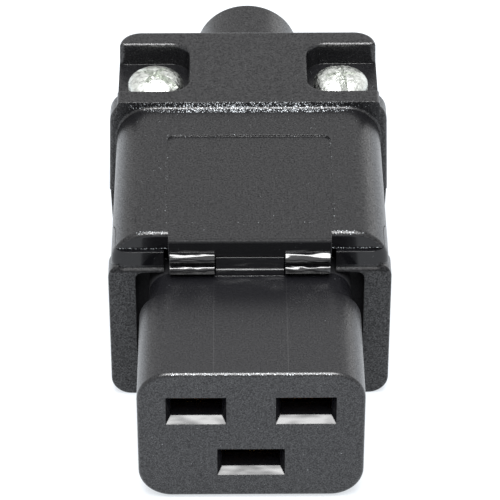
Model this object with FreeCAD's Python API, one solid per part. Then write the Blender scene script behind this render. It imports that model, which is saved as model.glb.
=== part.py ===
import FreeCAD, Part
import math
import os

# Rewireable C19 appliance connector: two moulded housing halves clamp a socket insert
# with three folded brass contacts, their screw terminals, a cord clamp and a cord grommet.
# Millimetres. X is the width, Y runs from the mating face back to the cord, Z is up.
# Everything is modelled from the middle of the mating face and moved to its place at the end.

# ---------------------------------------------------------------- driving dimensions

# Socket nose, the block that enters the appliance inlet.
NOSE_WIDTH = 27.0
NOSE_HEIGHT = 19.0
NOSE_CORNER = 4.0
NOSE_LENGTH = 15.5
NOSE_EDGE = 0.45

# Pin layout and slots.
LIVE_PITCH = 13.0
EARTH_DROP = 8.0
PINS_BELOW_MIDDLE = 0.1
LIVE_SLOT = (6.1, 3.0)
EARTH_SLOT = (7.0, 3.0)
SLOT_FUNNEL = 0.55
SLOT_FUNNEL_DEPTH = 1.1
SLOT_DEPTH = 3.5

# Neck, chambers and decks of the insert.
CHAMBER_HEIGHT = 4.8
NECK_INSET = 1.15
NECK_CORNER = 3.0
INSERT_FLOOR = 0.9
INSERT_SHOULDER = 3.2
SHOULDER_CORNERS = (1.5, 1.0)
LIVE_DECK = 11.5
EARTH_DECK = 7.5
EARTH_DECK_WALL = 1.2
PRESSER_OFFSET = 0.3

# Housing, outside.
WAIST_BESIDE_NOSE = 3.5
WAIST_ABOVE_NOSE = 5.23
WAIST_BELOW_NOSE = 0.1
BASE_PROUD = 0.3
WAIST_CORNER = 4.7
BASE_CORNER = 2.5
TONGUE_WIDTH = 19.8
TONGUE_FRONT = 18.95
TONGUE_THICKNESS = 2.43
TONGUE_EDGE = 0.3
NOTCH_DEPTH = 1.5
NOTCH_EDGE = 0.6
COLLAR_FRONT = 19.6
COLLAR_LENGTH = 3.2
COLLAR_PROUD = 0.35
COLLAR_CORNER = 2.0
COLLAR_EDGE = 0.3
COLLAR_ABOVE_NOSE = 1.0
RECESS_ABOVE_NOSE = 0.35
RECESS_DEPTH = 0.35
RECESS_SIDE = 1.15
RECESS_CORNER = 1.0
SHELL_EDGE = 1.5
FLANGE_AHEAD = 0.6
FLANGE_LENGTH = 2.8
FLANGE_PROUD = 1.2
FLANGE_RISE = 0.87
FLANGE_CORNER = 3.2
FLANGE_BASE_CORNER = 4.0
FLANGE_SHELL_INSET = 0.15
STEP_ROOT = 0.35
STEP_RIM = 0.57
REAR_LENGTH = 14.3
REAR_PROUD = 0.3
REAR_CORNER = 2.8
REAR_BASE_CORNER = 1.2
REAR_EDGE = 0.6
DRAFT = 0.03
NOZZLE_LENGTH = 17.2
NOZZLE_EDGE = 0.6

# Housing, inside.
WALL = 2.0
FRONT_WALL = 2.5
NOZZLE_WALL = 1.6
CAVITY_BASE_CORNER = 1.0
OPENING_CORNER = 1.0
OPENING_BELOW_RECESS = 0.45
BRIDGE_CLEARANCE = 0.6

# Parting face between the halves: high at the front, on the cord axis at the rear.
PARTING_REAR = 1.6
PARTING_RUN = 5.4
PARTING_REST = 7.2
PARTING_BEND = 4.0
PARTING_GAP = 0.12

# Recessed blank panel on the cover.
PANEL_WIDTH = 20.6
PANEL_LENGTH = 18.4
PANEL_MARGIN = 2.25
PANEL_CORNER = 1.0
PANEL_DEPTH = 0.2

# Ribbed hooks of the cover that catch under the bridge of the insert.
HOOK_INNER = 4.3
HOOK_INSET = 0.15
HOOK_ROOT = 0.5
HOOK_THICKNESS = 1.2
HOOK_CORNER = 0.3
HOOK_RIB = 0.65
HOOK_RIB_AHEAD = 0.2
HOOK_RIB_HEIGHTS = (1.08, 2.86)
HOOK_BARB = 0.85
HOOK_BARB_HEIGHT = 1.0
HOOK_GAP = 0.25
BRIDGE_LENGTH = 5.0
FOOT_AHEAD = 0.2
FOOT_HEIGHT = 0.95
FOOT_EDGE = 0.15

# Housing screws: M3.5 pan head with hexagon nuts.
SCREW_RADIUS = 1.75
SCREW_HEAD_RADIUS = 3.35
SCREW_HEAD_HEIGHT = 2.5
SCREW_FROM_BASE = 1.0
SCREW_INSET = 5.2
SCREW_AHEAD = 0.5
POCKET_CLEARANCE = 1.05
POCKET_DEPTH = 3.2
POCKET_REAR_WALL = 3.5
POCKET_CORNER = 2.6
POCKET_FLOOR = 2.4
POCKET_EDGE = 0.4
POCKET_EDGE_STEPS = 3
POCKET_SIDE_ROUND = 0.8
POCKET_SIDE_INSET = 0.25
BOSS_RADIUS = 4.2
NUT_FLATS = 6.0
NUT_HEIGHT = 2.8
NUT_POCKET = 3.4

# Form of all screws, as shares of the head radius, the head height and the shank radius.
HEAD_FLAT = 0.35
HEAD_RIM = 0.35
CROSS_REACH = 0.55
CROSS_WIDTH = 0.13
CROSS_FLOOR = 0.4
SHANK_POINT = 0.25

# Contacts, folded from brass strip.
BRASS = 0.8
LEAF = 0.6
LIVE_CONTACT_WIDTH = 5.6
EARTH_CONTACT_WIDTH = 6.4
LEAF_GRIP = 0.8
LEAF_FLARE = 0.7
LEAF_START = 0.6
LEAF_MOUTH = 3.4
LEAF_BEND = 2.0
SLEEVE_LENGTH = 4.0
PAD_THICKNESS = 1.6
PAD_LENGTH = 8.5

# Terminals: M3.5 screws with square saddle plates.
TERMINAL_RADIUS = 1.7
TERMINAL_HEAD_RADIUS = 3.0
TERMINAL_HEAD_HEIGHT = 2.0
TERMINAL_REACH = 2.3
SADDLE_LENGTH = 6.4
SADDLE_THICKNESS = 1.2
SADDLE_LIP = 0.6
SADDLE_LIP_DROP = 0.9
SADDLE_CLEARANCE = 0.45

# Cord clamp and grommet.
CORD_RADIUS = 4.6
CLAMP_LENGTH = 6.0
CLAMP_THICKNESS = 2.2
CLAMP_BEHIND_DECK = 0.25
CLAMP_END = 3.2
CLAMP_CORNERS = (0.3, 0.8)
CLAMP_FROM_BASE = 0.3
CLAMP_SCREW_RADIUS = 1.45
CLAMP_HEAD_RADIUS = 2.75
CLAMP_HEAD_HEIGHT = 1.8
CLAMP_HEAD_GAP = 0.25
CLAMP_RIDGE = 0.5
CLAMP_RIDGE_WIDTH = 0.8
GROMMET_WALL = 0.65
GROMMET_FLANGE = 1.6
GROMMET_RECESS = 0.4

# Clearances, and how far a cutter runs past the face that it opens.
FIT = 0.15
RUNNING = 0.05
OPENING_CLEARANCE = 0.5
PAST = 1.0

# ---------------------------------------------------------------- derived places

nose_half = NOSE_WIDTH / 2
nose_top = NOSE_HEIGHT / 2
neck_half = nose_half - NECK_INSET
live_x = LIVE_PITCH / 2
live_z = EARTH_DROP / 2 - PINS_BELOW_MIDDLE
earth_z = live_z - EARTH_DROP
chamber_reach = CHAMBER_HEIGHT / 2
chamber_side = RUNNING + SADDLE_LIP + SADDLE_CLEARANCE
live_chamber_half = LIVE_CONTACT_WIDTH / 2 + chamber_side
earth_chamber_half = EARTH_CONTACT_WIDTH / 2 + chamber_side
earth_deck_half = earth_chamber_half + EARTH_DECK_WALL

waist_half = nose_half + WAIST_BESIDE_NOSE
waist_top = nose_top + WAIST_ABOVE_NOSE
waist_bottom = -nose_top - WAIST_BELOW_NOSE
foot = waist_bottom - BASE_PROUD
rear_top = waist_top + FLANGE_RISE
collar_half = waist_half + COLLAR_PROUD
flange_half = waist_half + FLANGE_PROUD
rear_half = waist_half + REAR_PROUD
tongue_half = TONGUE_WIDTH / 2
parting_front = waist_top - TONGUE_THICKNESS
recess_bottom = nose_top + RECESS_ABOVE_NOSE
opening_top = recess_bottom - OPENING_BELOW_RECESS

notch_front = TONGUE_FRONT + NOTCH_DEPTH
shell_front = COLLAR_FRONT + RECESS_DEPTH
collar_back = COLLAR_FRONT + COLLAR_LENGTH
cavity_front = COLLAR_FRONT + FRONT_WALL
cavity_half = waist_half - WALL
cavity_top = waist_top - WALL
cavity_floor = earth_z - chamber_reach - INSERT_FLOOR
floor_middle = (waist_bottom + cavity_floor) / 2

shoulder_front = cavity_front + FIT
chamber_back = shoulder_front + INSERT_SHOULDER - SLOT_FUNNEL_DEPTH
live_deck_end = chamber_back + LIVE_DECK
earth_deck_end = live_deck_end + EARTH_DECK
insert_half = cavity_half - FIT
hook_back = TONGUE_FRONT + HOOK_THICKNESS
hook_outer = tongue_half - HOOK_INSET
bridge_top = parting_front - PARTING_GAP
bridge_front = hook_back + HOOK_GAP
bridge_back = bridge_front + BRIDGE_LENGTH

clamp_y = earth_deck_end + CLAMP_BEHIND_DECK + CLAMP_LENGTH / 2
clamp_seat = PARTING_REAR - CORD_RADIUS / 2
clamp_screw_x = CORD_RADIUS + CLAMP_THICKNESS + CLAMP_HEAD_RADIUS + CLAMP_HEAD_GAP
clamp_half = clamp_screw_x + CLAMP_END
flange_front = clamp_y + FLANGE_AHEAD
flange_back = flange_front + FLANGE_LENGTH
rear_end = flange_back + REAR_LENGTH
cavity_back = rear_end - WALL
overall_length = rear_end + NOZZLE_LENGTH
reach = 2 * overall_length
grommet_radius = CORD_RADIUS + GROMMET_WALL
nozzle_bore = grommet_radius + FIT
nozzle_radius = nozzle_bore + NOZZLE_WALL

pocket_z = rear_top - POCKET_DEPTH
pocket_back = rear_end - POCKET_REAR_WALL
screw_x = rear_half - SCREW_INSET
screw_y = (flange_back + pocket_back) / 2 - SCREW_AHEAD
screw_hole = SCREW_RADIUS + FIT
pocket_inner = screw_x - SCREW_HEAD_RADIUS - POCKET_CLEARANCE

# ---------------------------------------------------------------- drawing helpers


def at(x, y, z):
    """Point or direction."""
    return FreeCAD.Vector(x, y, z)


def block(xs, ys, zs):
    """Box between two values of x, of y and of z."""
    return Part.makeBox(xs[1] - xs[0], ys[1] - ys[0], zs[1] - zs[0], at(xs[0], ys[0], zs[0]))


def mirrored(shape):
    """The same shape on the other side of the middle plane."""
    return shape.mirror(at(0, 0, 0), at(1, 0, 0))


def both_sides(shape):
    """A shape together with its mirror image."""
    return shape.fuse(mirrored(shape))


def joined(shapes):
    """One clean solid from shapes that touch or overlap."""
    return shapes[0].multiFuse(shapes[1:]).removeSplitter()


def rounded_face(corners, place):
    """Flat face through corners (a, b, radius), where place turns (a, b) into a point."""
    arcs = []
    count = len(corners)
    for index, (a, b, radius) in enumerate(corners):
        here = at(a, b, 0)
        before = at(*corners[index - 1][:2], 0)
        after = at(*corners[(index + 1) % count][:2], 0)
        back = (before - here).normalize()
        ahead = (after - here).normalize()
        half = back.getAngle(ahead) / 2
        if radius == 0 or half > 0.4999 * math.pi:
            arcs.append((here, here, here))
            continue
        inward = (back + ahead).normalize()
        tangent = radius / math.tan(half)
        middle = here + inward * (radius / math.sin(half) - radius)
        arcs.append((here + back * tangent, middle, here + ahead * tangent))
    edges = []
    for index, (start, middle, end) in enumerate(arcs):
        following = arcs[(index + 1) % count][0]
        if start != end:
            edges.append(Part.Arc(place(start), place(middle), place(end)).toShape())
        if (following - end).Length > 1e-6:
            edges.append(Part.makeLine(place(end), place(following)))
    return Part.Face(Part.Wire(edges))


def level_wire(corners, z):
    """Closed outline in a level plane, from corners (x, y, radius)."""
    return rounded_face(corners, lambda p: at(p.x, p.y, z)).OuterWire


def along_x(corners, xs):
    """Prism between two values of x, from corners (y, z, radius)."""
    face = rounded_face(corners, lambda p: at(xs[0], p.x, p.y))
    return face.extrude(at(xs[1] - xs[0], 0, 0))


def along_y(corners, ys):
    """Prism between two values of y, from corners (x, z, radius)."""
    face = rounded_face(corners, lambda p: at(p.x, ys[0], p.y))
    return face.extrude(at(0, ys[1] - ys[0], 0))


def along_z(corners, zs):
    """Prism between two values of z, from corners (x, y, radius)."""
    face = rounded_face(corners, lambda p: at(p.x, p.y, zs[0]))
    return face.extrude(at(0, 0, zs[1] - zs[0]))


def rectangle(a_range, b_range, low_radius, high_radius):
    """Corners of a rectangle with one radius at its low b side and one at its high b side."""
    return [
        (a_range[0], b_range[0], low_radius),
        (a_range[1], b_range[0], low_radius),
        (a_range[1], b_range[1], high_radius),
        (a_range[0], b_range[1], high_radius),
    ]


def section(half, bottom, top, low_radius, high_radius):
    """Corners of a section that is symmetric about the middle plane."""
    return rectangle((-half, half), (bottom, top), low_radius, high_radius)


def upright(x, y, zs, radius):
    """Vertical cylinder."""
    return Part.makeCylinder(radius, zs[1] - zs[0], at(x, y, zs[0]))


def cord_tube(ys, radius):
    """Cylinder along the cord axis."""
    return Part.makeCylinder(radius, ys[1] - ys[0], at(0, ys[0], PARTING_REAR), at(0, 1, 0))


def hexagon(x, y, zs, flats):
    """Vertical hexagonal prism of a given width across flats."""
    radius = flats / math.sqrt(3)
    corners = []
    for step in range(6):
        angle = math.radians(60 * step + 30)
        corners.append((x + radius * math.cos(angle), y + radius * math.sin(angle), 0))
    return along_z(corners, zs)


def near(value, target):
    """True where a coordinate lies on a plane."""
    return abs(value - target) < 1e-4


def level_y(box, y):
    """True for the box of an edge that lies in a plane across the cord axis."""
    return near(box.YMin, y) and near(box.YMax, y)


def level_z(box, z):
    """True for the box of an edge that lies in a level plane."""
    return near(box.ZMin, z) and near(box.ZMax, z)


def softened(shape, radius, chosen):
    """Rounds the edges whose bounding box passes the test."""
    edges = [edge for edge in shape.Edges if chosen(edge.BoundBox)]
    return shape.makeFillet(radius, edges)


# ---------------------------------------------------------------- housing


def parting_line(offset):
    """Corners (y, z, radius) of the parting face, moved up by an offset."""
    return [
        (-reach, parting_front + offset, 0),
        (COLLAR_FRONT + PARTING_RUN, parting_front + offset, PARTING_BEND),
        (flange_front - PARTING_REST, PARTING_REAR + offset, PARTING_BEND),
        (reach, PARTING_REAR + offset, 0),
    ]


def above_parting():
    """Space that belongs to the cover."""
    corners = parting_line(PARTING_GAP / 2) + [(reach, reach, 0), (-reach, reach, 0)]
    return along_x(corners, (-reach, reach))


def below_parting():
    """Space that belongs to the lower shell."""
    corners = parting_line(-PARTING_GAP / 2) + [(reach, -reach, 0), (-reach, -reach, 0)]
    return along_x(corners, (-reach, reach))


def waist_tube(front, bottom, low_radius, edge):
    """Outside of the waist with a rounded front rim."""
    corners = section(waist_half, bottom, waist_top, low_radius, WAIST_CORNER)
    waist = along_y(corners, (front, flange_back))
    return softened(waist, edge, lambda box: level_y(box, front) and box.ZMax > bottom + FIT)


def drafted(half, far, radius):
    """Corners of a section that narrows from the parting height to its far side."""
    inset = DRAFT * abs(far - PARTING_REAR)
    return [
        (-half, PARTING_REAR, 0),
        (half, PARTING_REAR, 0),
        (half - inset, far, radius),
        (inset - half, far, radius),
    ]


def rear_block(far, edge):
    """Screw end from the parting height to its far face, drafted and rounded at its rim."""
    inset = DRAFT * abs(far - PARTING_REAR)
    wires = []
    for height, shrink in ((PARTING_REAR, 0), (far, inset)):
        plan = section(rear_half - shrink, flange_front, rear_end - shrink, 0, REAR_CORNER)
        wires.append(level_wire(plan, height))
    body = Part.makeLoft(wires, True, True)
    return softened(body, edge, lambda box: level_z(box, far) and box.YMax > flange_front + FIT)


def nozzle():
    """Round cord outlet with a rounded rim."""
    tube = cord_tube((cavity_back, overall_length), nozzle_radius)
    return softened(tube, NOZZLE_EDGE, lambda box: level_y(box, overall_length))


def cavity():
    """Hollow of the housing, with the round cord passage through the rear wall."""
    corners = section(cavity_half, cavity_floor, cavity_top, CAVITY_BASE_CORNER, WAIST_CORNER - WALL)
    room = along_y(corners, (cavity_front, cavity_back))
    return room.fuse(cord_tube((cavity_back - PAST, overall_length + PAST), nozzle_bore))


def neck_opening():
    """Opening of the front wall round the neck of the insert, open towards the cover."""
    ys = (COLLAR_FRONT - PAST, cavity_front + PAST)
    half = nose_half + OPENING_CLEARANCE
    window = along_y(section(half, cavity_floor, opening_top, NECK_CORNER, OPENING_CORNER), ys)
    slot_half = max(tongue_half, neck_half - NECK_CORNER + OPENING_CLEARANCE) + BRIDGE_CLEARANCE
    return window.fuse(block((-slot_half, slot_half), ys, (0, reach)))


def collar():
    """Proud front collar, recessed under the cover, with a rounded front edge."""
    outline = section(collar_half, foot, nose_top + COLLAR_ABOVE_NOSE, BASE_CORNER, COLLAR_CORNER)
    recess = section(collar_half - RECESS_SIDE, recess_bottom, reach, RECESS_CORNER, 0)
    ring = along_y(outline, (COLLAR_FRONT, collar_back))
    ring = ring.cut(along_y(recess, (COLLAR_FRONT - PAST, shell_front)))
    return softened(ring, COLLAR_EDGE, lambda box: level_y(box, COLLAR_FRONT))


def insert_stops():
    """Two ribs that stop the insert behind its live decks."""
    ys = (live_deck_end + FIT, live_deck_end + FIT + WALL)
    xs = (earth_deck_half + OPENING_CLEARANCE, cavity_half + WALL / 2)
    return both_sides(block(xs, ys, (floor_middle, live_z - EARTH_DROP / 2)))


def clamp_base():
    """Raised seat for the cord clamp with a round trough for the cord."""
    half = cavity_half + WALL / 2
    ys = (clamp_y - CLAMP_LENGTH / 2, clamp_y + CLAMP_LENGTH / 2)
    seat = block((-half, half), ys, (floor_middle, clamp_seat))
    seat = seat.cut(cord_tube((ys[0] - PAST, ys[1] + PAST), CORD_RADIUS))
    hole = upright(clamp_screw_x, clamp_y, (cavity_floor, clamp_seat + PAST), CLAMP_SCREW_RADIUS + RUNNING)
    return seat.cut(both_sides(hole))


def lower_shell():
    """Tray with the collar, the clamp seat, the nut pockets and half of the cord outlet."""
    waist = waist_tube(shell_front, waist_bottom, BASE_CORNER, SHELL_EDGE)
    flange = along_y(drafted(flange_half - FLANGE_SHELL_INSET, foot, FLANGE_BASE_CORNER),
                     (flange_front, flange_back))
    block_below = rear_block(waist_bottom, REAR_BASE_CORNER)
    outside = joined([waist, collar(), flange, block_below, nozzle()])
    shell = outside.cut(cavity()).cut(neck_opening()).common(below_parting())
    boss = upright(screw_x, screw_y, (waist_bottom, PARTING_REAR - PARTING_GAP / 2), BOSS_RADIUS)
    shell = joined([shell, both_sides(boss).common(block_below), clamp_base(), insert_stops()])
    hole = upright(screw_x, screw_y, (foot - PAST, parting_front), screw_hole)
    pocket = hexagon(screw_x, screw_y, (foot - PAST, waist_bottom + NUT_POCKET), NUT_FLATS + 2 * FIT)
    return shell.cut(both_sides(hole.fuse(pocket)))


def hook():
    """One ribbed hook of the cover, caught under the bridge of the insert."""
    xs = (HOOK_INNER, hook_outer)
    low = nose_top + RUNNING
    root = waist_top - HOOK_ROOT
    barb_top = low + HOOK_BARB_HEIGHT
    stem = along_x([(TONGUE_FRONT, low, HOOK_CORNER), (hook_back, low, 0),
                    (hook_back, root, 0), (TONGUE_FRONT, root, 0)], xs)
    barb = along_x([(TONGUE_FRONT + HOOK_CORNER, low, 0), (hook_back + HOOK_BARB, low, HOOK_CORNER),
                    (hook_back, barb_top, 0), (TONGUE_FRONT + HOOK_CORNER, barb_top, 0)], xs)
    ribs = []
    for height in HOOK_RIB_HEIGHTS:
        start = at(HOOK_INNER, TONGUE_FRONT - HOOK_RIB_AHEAD, nose_top + height)
        ribs.append(Part.makeCylinder(HOOK_RIB, hook_outer - HOOK_INNER, start, at(1, 0, 0)))
    return joined([stem, barb] + ribs)


def pocket_plan(grow):
    """Plan corners of a screw pocket that is open to the side, widened by grow."""
    inner = pocket_inner - grow
    side = rear_half - POCKET_SIDE_INSET
    front = flange_back - grow
    back = pocket_back + grow
    corner = POCKET_CORNER + grow
    return [
        (inner, front, corner),
        (reach, front, 0),
        (reach, back + 2 * POCKET_SIDE_ROUND, 0),
        (side, back + 2 * POCKET_SIDE_ROUND, 0),
        (side, back, POCKET_SIDE_ROUND),
        (inner, back, corner),
    ]


def screw_pocket():
    """Pocket round a screw head with a rounded rim, drawn in narrow bevels."""
    levels = []
    for step in range(POCKET_EDGE_STEPS + 1):
        angle = math.pi / 2 * step / POCKET_EDGE_STEPS
        height = rear_top - POCKET_EDGE * (1 - math.sin(angle))
        levels.append((height, POCKET_EDGE * (1 - math.cos(angle))))
    before, last = levels[-2:]
    levels.append((2 * last[0] - before[0], 2 * last[1] - before[1]))
    rims = [level_wire(pocket_plan(grow), height) for height, grow in levels]
    return along_z(pocket_plan(0), (pocket_z, reach)).fuse(Part.makeLoft(rims, True, True))


def stepped_flange(waist):
    """Waist with the proud flange behind it, rounded at the root and the rim of the step."""
    flange = along_y(drafted(flange_half, rear_top, FLANGE_CORNER), (flange_front, flange_back))
    body = joined([waist, flange])
    inside = waist_half + FIT

    def at_root(box):
        """Edges between the waist and the front of the flange."""
        across = box.XMax < inside and box.XMin > -inside and box.ZMax < waist_top + FIT
        return across and level_y(box, flange_front) and not level_z(box, PARTING_REAR)

    def at_rim(box):
        """Upper edges of the front of the flange."""
        return level_y(box, flange_front) and box.ZMax > rear_top - FIT

    body = softened(body, FLANGE_RISE * STEP_ROOT, at_root)
    return softened(body, FLANGE_RISE * STEP_RIM, at_rim)


def cover_outside():
    """Outside of the cover above the parting face, with the tongue at its front."""
    waist = waist_tube(notch_front, PARTING_REAR, 0, NOTCH_EDGE)
    tongue = block((-tongue_half, tongue_half), (TONGUE_FRONT, notch_front + WALL),
                   (parting_front, waist_top))
    tongue = softened(tongue, TONGUE_EDGE,
                      lambda box: level_y(box, TONGUE_FRONT) and level_z(box, waist_top))
    return joined([stepped_flange(waist), tongue, rear_block(rear_top, REAR_EDGE), nozzle()])


def upper_cover():
    """Cover with the blank panel, the screw pockets, the hooks and half of the cord outlet."""
    outside = cover_outside()
    shell = outside.cut(cavity()).common(above_parting())
    pocket_walls = along_z(pocket_plan(WALL), (pocket_z - POCKET_FLOOR, reach))
    pocket_walls = both_sides(pocket_walls).common(outside)
    boss = upright(screw_x, screw_y, (PARTING_REAR + PARTING_GAP / 2, pocket_z), BOSS_RADIUS)
    presser_x = live_x + live_chamber_half + PRESSER_OFFSET
    presser = block((presser_x, presser_x + WALL), (bridge_back, live_deck_end - FIT),
                    (nose_top + RUNNING, cavity_top + WALL / 2))
    shell = joined([shell, pocket_walls, both_sides(boss), both_sides(presser), both_sides(hook())])
    shell = shell.cut(both_sides(screw_pocket()))
    panel_front = notch_front + PANEL_MARGIN
    panel = section(PANEL_WIDTH / 2, panel_front, panel_front + PANEL_LENGTH, PANEL_CORNER, PANEL_CORNER)
    shell = shell.cut(along_z(panel, (waist_top - PANEL_DEPTH, reach)))
    return shell.cut(both_sides(upright(screw_x, screw_y, (0, reach), screw_hole)))


# ---------------------------------------------------------------- socket insert


def slot(x, z, size):
    """Pin slot with a funnel at the mating face."""
    half = (size[0] / 2, size[1] / 2)
    tunnel = block((x - half[0], x + half[0]), (-PAST, SLOT_DEPTH + PAST), (z - half[1], z + half[1]))
    wires = []
    for depth, grow in ((0.0, SLOT_FUNNEL), (SLOT_FUNNEL_DEPTH, 0.0)):
        a = half[0] + grow
        b = half[1] + grow
        corners = [(x - a, z - b, 0), (x + a, z - b, 0), (x + a, z + b, 0), (x - a, z + b, 0)]
        wires.append(rounded_face(corners, lambda p, y=depth: at(p.x, y, p.y)).OuterWire)
    return tunnel.fuse(Part.makeLoft(wires, True, True))


def chamber(x, z, half, end):
    """Room behind a slot that takes a contact."""
    return block((x - half, x + half), (SLOT_DEPTH, end), (z - chamber_reach, z + chamber_reach))


def insert_body():
    """Outside of the insert: nose, neck, shoulder, earth deck and the bridge behind the hooks."""
    nose = along_y(section(nose_half, -nose_top, nose_top, NOSE_CORNER, NOSE_CORNER), (0, NOSE_LENGTH))
    nose = softened(nose, NOSE_EDGE, lambda box: level_y(box, 0))
    neck = along_y(section(neck_half, cavity_floor + FIT, nose_top, NECK_CORNER, NECK_CORNER),
                   (NOSE_LENGTH - PAST, chamber_back))
    shoulder = along_y(section(insert_half, cavity_floor, nose_top, *SHOULDER_CORNERS),
                       (shoulder_front, live_deck_end))
    earth_deck = block((-earth_deck_half, earth_deck_half), (live_deck_end - PAST, earth_deck_end),
                       (cavity_floor, earth_z + chamber_reach))
    bridge = block((-tongue_half, tongue_half), (bridge_front, bridge_back), (nose_top - PAST, bridge_top))
    xs = (FIT - HOOK_INNER, HOOK_INNER - FIT)
    middle = block(xs, (TONGUE_FRONT, bridge_front), (nose_top - PAST, bridge_top))
    middle = softened(middle, FOOT_EDGE, lambda box: level_y(box, TONGUE_FRONT) and level_z(box, bridge_top))
    step_top = nose_top + FOOT_HEIGHT
    step = block(xs, (TONGUE_FRONT - FOOT_AHEAD, bridge_front), (nose_top - PAST, step_top))
    step = softened(step, FOOT_EDGE, lambda box: box.YMax < TONGUE_FRONT and level_z(box, step_top))
    return joined([nose, neck, shoulder, earth_deck, bridge, middle, step])


def socket_insert():
    """Insulating block with the pin slots, the contact chambers and the open terminal decks."""
    body = insert_body()
    above = nose_top + PAST
    for x in (-live_x, live_x):
        body = body.cut(slot(x, live_z, LIVE_SLOT))
        body = body.cut(chamber(x, live_z, live_chamber_half, live_deck_end + PAST))
        body = body.cut(block((x - live_chamber_half, x + live_chamber_half),
                              (bridge_back + FIT, live_deck_end + PAST), (live_z, above)))
        body = body.cut(upright(x, terminal_y(live_deck_end), (terminal_floor(live_z), live_z),
                                TERMINAL_RADIUS + FIT))
    body = body.cut(slot(0, earth_z, EARTH_SLOT))
    body = body.cut(chamber(0, earth_z, earth_chamber_half, earth_deck_end + PAST))
    body = body.cut(block((-earth_chamber_half, earth_chamber_half), (live_deck_end, earth_deck_end + PAST),
                          (earth_z, above)))
    body = body.cut(upright(0, terminal_y(earth_deck_end), (cavity_floor - PAST, earth_z),
                            TERMINAL_RADIUS + FIT))
    barb_room = block((HOOK_INNER - FIT, hook_outer + FIT),
                      (bridge_front - PAST, hook_back + HOOK_BARB + FIT),
                      (nose_top, nose_top + HOOK_BARB_HEIGHT + 2 * RUNNING))
    return body.cut(both_sides(barb_room))


# ---------------------------------------------------------------- contacts and terminals


def terminal_y(deck_end):
    """Place of the terminal screw on a deck."""
    return deck_end - FIT - PAD_LENGTH / 2


def terminal_floor(z):
    """Underside of the hole that clears the end of a terminal screw."""
    return z - chamber_reach - TERMINAL_REACH - FIT


def pad_top(z):
    """Top of the terminal pad of a contact."""
    return z - chamber_reach + PAD_THICKNESS


def leaf(z, up, width):
    """Sprung leaf of a contact, bent towards the pin and flared at its mouth."""
    outer = chamber_reach - BRASS
    start = SLOT_DEPTH + LEAF_START
    grip = start + LEAF_MOUTH
    sleeve = NOSE_LENGTH - SLEEVE_LENGTH
    flare = LEAF_GRIP + LEAF_FLARE
    corners = [
        (sleeve + PAST, outer, 0),
        (sleeve - LEAF_BEND, outer, LEAF_BEND),
        (grip, LEAF_GRIP, LEAF_BEND),
        (start, flare, 0),
        (start, flare + LEAF, 0),
        (grip, LEAF_GRIP + LEAF, LEAF_BEND - LEAF),
        (sleeve - LEAF_BEND, outer + LEAF, LEAF_BEND),
        (sleeve + PAST, outer + LEAF, 0),
    ]
    placed = [(y, z + up * height, radius) for y, height, radius in corners]
    return along_x(placed, (-width / 2, width / 2))


def contact(x, z, width, deck_end):
    """Folded contact: two sprung leaves, a square sleeve, a strip and the terminal pad."""
    half = width / 2
    low = z - chamber_reach
    high = z + chamber_reach
    front = NOSE_LENGTH - SLEEVE_LENGTH
    end = deck_end - FIT
    sleeve = block((-half, half), (front, NOSE_LENGTH), (low, high))
    sleeve = sleeve.cut(block((BRASS - half, half - BRASS), (front - PAST, NOSE_LENGTH + PAST),
                              (low + BRASS, high - BRASS)))
    strip = block((-half, half), (NOSE_LENGTH - PAST, end), (low, low + BRASS))
    pad = block((-half, half), (end - PAD_LENGTH, end), (low, pad_top(z)))
    shape = joined([sleeve, strip, pad, leaf(z, 1, width), leaf(z, -1, width)])
    shape = shape.cut(upright(0, terminal_y(deck_end), (low - PAST, high), TERMINAL_RADIUS + RUNNING))
    return shape.translated(at(x, 0, 0))


def saddle(x, z, width, deck_end):
    """Saddle plate whose two lips reach down beside the pad of its contact."""
    y = terminal_y(deck_end)
    low = pad_top(z)
    half = width / 2 + RUNNING + SADDLE_LIP
    ys = (y - SADDLE_LENGTH / 2, y + SADDLE_LENGTH / 2)
    plate = block((-half, half), ys, (low, low + SADDLE_THICKNESS))
    lip = block((half - SADDLE_LIP, half), ys, (low - SADDLE_LIP_DROP, low))
    plate = joined([plate, both_sides(lip)])
    plate = plate.cut(upright(0, y, (low - PAST, low + SADDLE_THICKNESS + PAST), TERMINAL_RADIUS + FIT))
    return plate.translated(at(x, 0, 0))


def pan_screw(x, y, seat, shank_end, radius, head_radius, head_height):
    """Pan-head screw turned about its axis, with its head on a seat and a cross recess."""
    top = seat + head_height
    flat = head_radius * HEAD_FLAT
    rim = seat + head_height * HEAD_RIM
    point = radius * SHANK_POINT
    bulge = math.sqrt(0.5)
    outline = [
        at(x, y, shank_end),
        at(x + radius - point, y, shank_end),
        at(x + radius, y, shank_end + point),
        at(x + radius, y, seat),
        at(x + head_radius, y, seat),
        at(x + head_radius, y, rim),
    ]
    dome = at(x + flat + (head_radius - flat) * bulge, y, rim + (top - rim) * bulge)
    edges = [Part.makeLine(start, end) for start, end in zip(outline, outline[1:])]
    edges.append(Part.Arc(outline[-1], dome, at(x + flat, y, top)).toShape())
    edges.append(Part.makeLine(at(x + flat, y, top), at(x, y, top)))
    edges.append(Part.makeLine(at(x, y, top), outline[0]))
    screw = Part.Face(Part.Wire(edges)).revolve(at(x, y, 0), at(0, 0, 1), 360)
    arm = head_radius * CROSS_REACH
    width = head_radius * CROSS_WIDTH
    depth = (seat + head_height * CROSS_FLOOR, top + PAST)
    cross = block((x - arm, x + arm), (y - width, y + width), depth)
    cross = cross.fuse(block((x - width, x + width), (y - arm, y + arm), depth))
    return screw.cut(cross)


def terminal_screw(x, z, deck_end):
    """Screw that presses the saddle plate on the pad of a contact."""
    seat = pad_top(z) + SADDLE_THICKNESS
    room = z - chamber_reach - cavity_floor - RUNNING
    shank_end = z - chamber_reach - min(TERMINAL_REACH, room)
    return pan_screw(x, terminal_y(deck_end), seat, shank_end,
                     TERMINAL_RADIUS, TERMINAL_HEAD_RADIUS, TERMINAL_HEAD_HEIGHT)


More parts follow.
